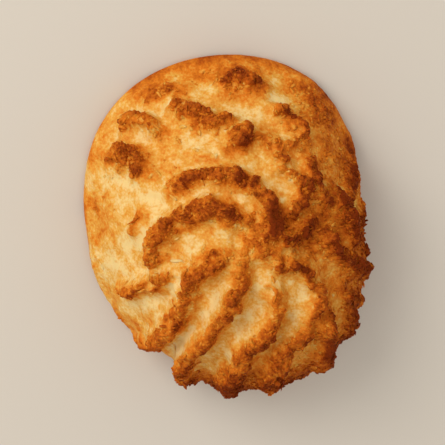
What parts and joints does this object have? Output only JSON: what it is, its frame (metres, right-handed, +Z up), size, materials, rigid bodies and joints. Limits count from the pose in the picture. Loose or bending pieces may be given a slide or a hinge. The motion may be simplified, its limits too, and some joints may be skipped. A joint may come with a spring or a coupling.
{
  "type": "coconut cookie",
  "caption": "Piped coconut macaroon cookie: a browned dome of curling, craggy ridges on a smooth, slightly oval foot, lying on its flat underside.",
  "frame": {"origin": "under the middle of the bounding box, on the flat underside", "axes": "+Z up through the crown, +Y along the oval foot's long axis towards its gently sloping side, +X to the right of that"},
  "size_m": [0.0556, 0.0664, 0.0327],
  "materials": {
    "crust": "baked coconut dough, pale gold in the hollows and toasted brown on the craggy ridges, matt with a faint sugary sheen"
  },
  "bodies": {
    "root": {"cookie": "crust"}
  },
  "joints": []
}
